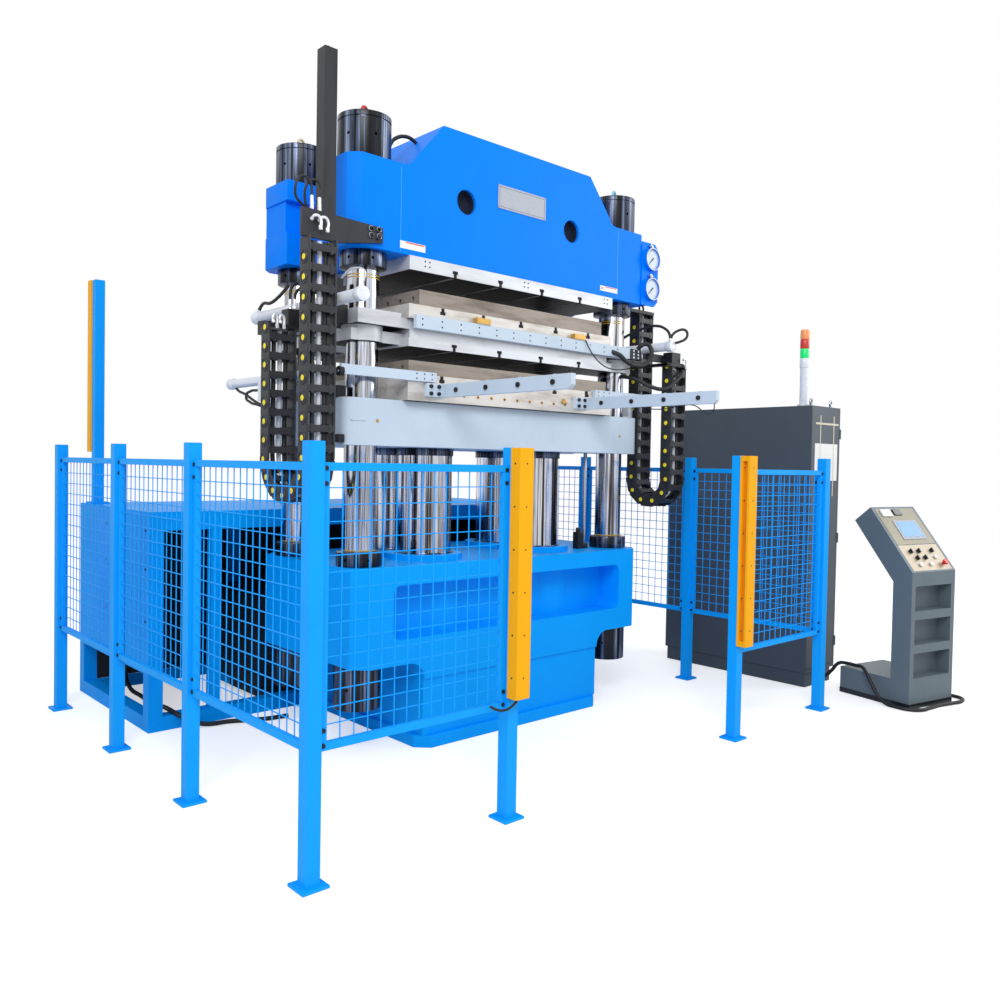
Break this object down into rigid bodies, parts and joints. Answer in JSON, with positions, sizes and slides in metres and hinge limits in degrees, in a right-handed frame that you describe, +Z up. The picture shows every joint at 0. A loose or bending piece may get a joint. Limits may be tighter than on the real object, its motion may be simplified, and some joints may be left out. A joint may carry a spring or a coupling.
{
  "type": "rubber vulcanizing press",
  "caption": "Four-column hydraulic rubber vulcanizing press with slide-out mould, cable chains, guard fence, power unit, control cabinet and operator console.",
  "frame": {"origin": "on the floor under the centre of the press's base plate", "axes": "+Z up, -Y to the operator's side where the fence is open, +X to the right when the press is seen from the front"},
  "size_m": [4.7466, 3.8375, 3.509],
  "materials": {
    "blue_paint": "gloss machine paint",
    "pale_paint": "satin pale grey paint",
    "black_steel": "blackened steel",
    "chrome": "ground and chromed",
    "bare_steel": "machined steel with heat stains",
    "plate_steel": "machined plate",
    "black_plastic": "moulded nylon",
    "yellow_paint": "safety yellow paint",
    "cabinet_grey": "textured powder coat",
    "lens_plastic": "moulded lenses on a bright pole",
    "white_plastic": "moulded button",
    "red_plastic": "moulded mushroom head"
  },
  "bodies": {
    "press_frame": {"base_plate": "blue_paint", "lower_beam": "blue_paint", "column_front_left": "chrome", "column_front_right": "chrome", "column_rear_left": "chrome", "column_rear_right": "chrome", "top_nut_front_left": "black_steel", "top_nut_front_right": "black_steel", "top_nut_rear_left": "black_steel", "top_nut_rear_right": "black_steel", "crown": "blue_paint", "upper_hot_plate": "plate_steel", "guide_mast": "black_steel", "gauge_plate": "blue_paint", "fence_left": "blue_paint", "fence_front_left": "blue_paint", "fence_front_right": "blue_paint", "fence_right": "blue_paint", "curtain_cover_left": "yellow_paint", "curtain_cover_right": "yellow_paint", "rear_curtain_post": "blue_paint", "power_unit": "blue_paint", "cabinet_body": "cabinet_grey", "stack_light": "lens_plastic", "console_body": "cabinet_grey", "cable_chain_left": "black_plastic", "cable_chain_right": "black_plastic", "console_cable": "black_plastic"},
    "lifting_platen": {"moving_platen": "pale_paint", "lower_hot_plate": "bare_steel", "ram_front_left": "chrome", "ram_front_right": "chrome", "ram_rear_left": "chrome", "ram_rear_right": "chrome", "rail_arm_left": "pale_paint", "rail_arm_right": "pale_paint", "lower_cylinder_left": "plate_steel", "lower_cylinder_right": "plate_steel"},
    "middle_level": {"middle_platen": "plate_steel", "middle_hot_plate": "bare_steel", "cross_bar": "pale_paint", "upper_cylinder_left": "plate_steel", "upper_cylinder_right": "plate_steel"},
    "lower_shuttle": {"lower_mould": "bare_steel", "pull_bar_left": "pale_paint", "pull_bar_right": "pale_paint"},
    "upper_shuttle": {"upper_mould": "bare_steel"},
    "needle_upper": {"gauge_needle_upper": "black_steel"},
    "needle_lower": {"gauge_needle_lower": "black_steel"},
    "door_front": {"cabinet_door_front": "cabinet_grey"},
    "door_rear": {"cabinet_door_rear": "cabinet_grey"},
    "selector_1_body": {"selector_1": "black_plastic"},
    "selector_2_body": {"selector_2": "black_plastic"},
    "selector_3_body": {"selector_3": "black_plastic"},
    "selector_4_body": {"selector_4": "black_plastic"},
    "selector_5_body": {"selector_5": "black_plastic"},
    "push_button_1_body": {"push_button_1": "white_plastic"},
    "push_button_2_body": {"push_button_2": "white_plastic"},
    "push_button_3_body": {"push_button_3": "white_plastic"},
    "emergency_stop_body": {"emergency_stop": "red_plastic"}
  },
  "joints": [
    {"name": "platen_lift", "type": "slide", "parent": "press_frame", "child": "lifting_platen", "axis": [0, 0, 1], "range_m": [-0.45, 0.15]},
    {"name": "middle_lift", "type": "slide", "parent": "press_frame", "child": "middle_level", "axis": [0, 0, 1], "range_m": [-0.27, 0.086], "deforming": ["cable_chain_left", "cable_chain_right"]},
    {"name": "lower_mould_slide", "type": "slide", "parent": "lifting_platen", "child": "lower_shuttle", "axis": [0, -1, 0], "range_m": [0, 0.85]},
    {"name": "upper_mould_slide", "type": "slide", "parent": "middle_level", "child": "upper_shuttle", "axis": [0, -1, 0], "range_m": [0, 0.6]},
    {"name": "needle_upper_turn", "type": "hinge", "parent": "press_frame", "child": "needle_upper", "pos_m": [1.177, -0.503, 2.895], "axis": [0, 1, 0], "range_deg": [0, 270]},
    {"name": "needle_lower_turn", "type": "hinge", "parent": "press_frame", "child": "needle_lower", "pos_m": [1.177, -0.503, 2.699], "axis": [0, 1, 0], "range_deg": [0, 270]},
    {"name": "door_front_swing", "type": "hinge", "parent": "press_frame", "child": "door_front", "pos_m": [2.55, -1.147, 1], "axis": [0, 0, -1], "range_deg": [0, 100]},
    {"name": "door_rear_swing", "type": "hinge", "parent": "press_frame", "child": "door_rear", "pos_m": [2.55, 0.053, 1], "axis": [0, 0, 1], "range_deg": [0, 100]},
    {"name": "selector_1_turn", "type": "hinge", "parent": "press_frame", "child": "selector_1_body", "pos_m": [2.2806, -1.77855, 0.995], "axis": [-0.1624, -0.7638, 0.6247], "range_deg": [-45, 45]},
    {"name": "selector_2_turn", "type": "hinge", "parent": "press_frame", "child": "selector_2_body", "pos_m": [2.35983, -1.79539, 0.995], "axis": [-0.1624, -0.7638, 0.6247], "range_deg": [-45, 45]},
    {"name": "selector_3_turn", "type": "hinge", "parent": "press_frame", "child": "selector_3_body", "pos_m": [2.49188, -1.82346, 0.995], "axis": [-0.1624, -0.7638, 0.6247], "range_deg": [-45, 45]},
    {"name": "selector_4_turn", "type": "hinge", "parent": "press_frame", "child": "selector_4_body", "pos_m": [2.30036, -1.81547, 0.955], "axis": [-0.1624, -0.7638, 0.6247], "range_deg": [-45, 45]},
    {"name": "selector_5_turn", "type": "hinge", "parent": "press_frame", "child": "selector_5_body", "pos_m": [2.37959, -1.83231, 0.955], "axis": [-0.1624, -0.7638, 0.6247], "range_deg": [-45, 45]},
    {"name": "push_button_1_press", "type": "slide", "parent": "press_frame", "child": "push_button_1_body", "axis": [0.1624, 0.7638, -0.6247], "range_m": [0, 0.005], "stiffness_N_per_m": 600},
    {"name": "push_button_2_press", "type": "slide", "parent": "press_frame", "child": "push_button_2_body", "axis": [0.1624, 0.7638, -0.6247], "range_m": [0, 0.005], "stiffness_N_per_m": 600},
    {"name": "push_button_3_press", "type": "slide", "parent": "press_frame", "child": "push_button_3_body", "axis": [0.1624, 0.7638, -0.6247], "range_m": [0, 0.005], "stiffness_N_per_m": 600},
    {"name": "emergency_stop_press", "type": "slide", "parent": "press_frame", "child": "emergency_stop_body", "axis": [0.1624, 0.7638, -0.6247], "range_m": [0, 0.005]}
  ],
  "couplings": [
    {"joint": "middle_lift", "follows": "platen_lift", "ratio": 0.57}
  ]
}
